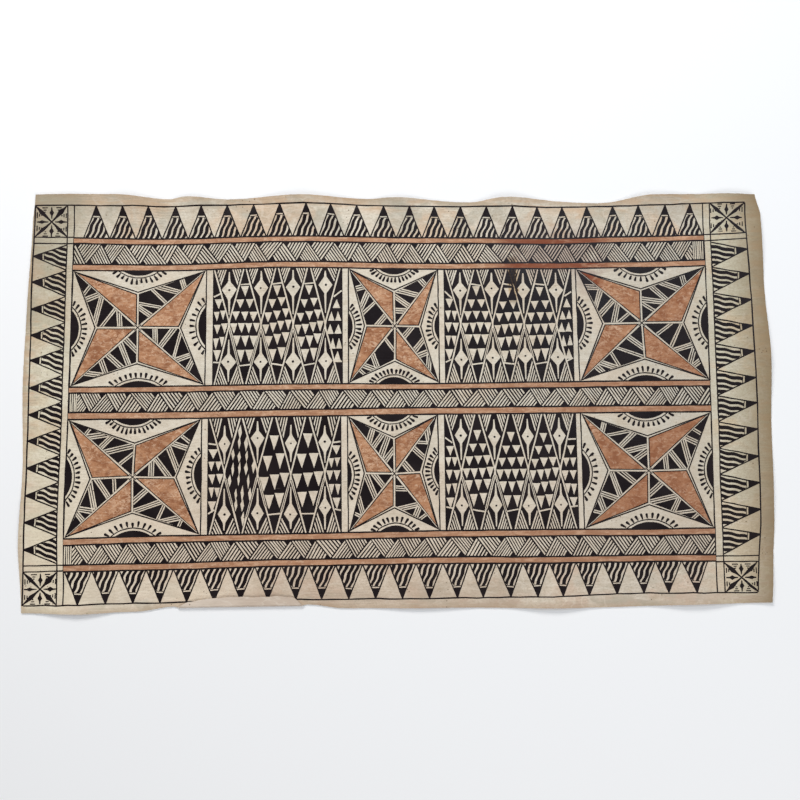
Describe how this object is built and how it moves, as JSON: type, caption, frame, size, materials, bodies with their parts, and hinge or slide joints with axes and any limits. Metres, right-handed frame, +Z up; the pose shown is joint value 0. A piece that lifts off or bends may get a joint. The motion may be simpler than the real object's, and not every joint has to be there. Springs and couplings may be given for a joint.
{
  "type": "tapa bark cloth",
  "caption": "Thin rectangular sheet of beaten bark cloth, laid flat with rippled edges and a turned-up hem, painted in black and brown bands, stars and lozenges.",
  "frame": {"origin": "middle of the cloth's box, on the surface it lies on", "axes": "+X along the long side, +Y towards the far edge, +Z up out of the painted face"},
  "size_m": [0.9737, 0.544, 0.0081],
  "materials": {
    "bark_cloth": "matt beaten bark in beige, painted by hand with near-black and reddish-brown dye"
  },
  "bodies": {
    "root": {"bark_cloth": "bark_cloth"}
  },
  "joints": []
}
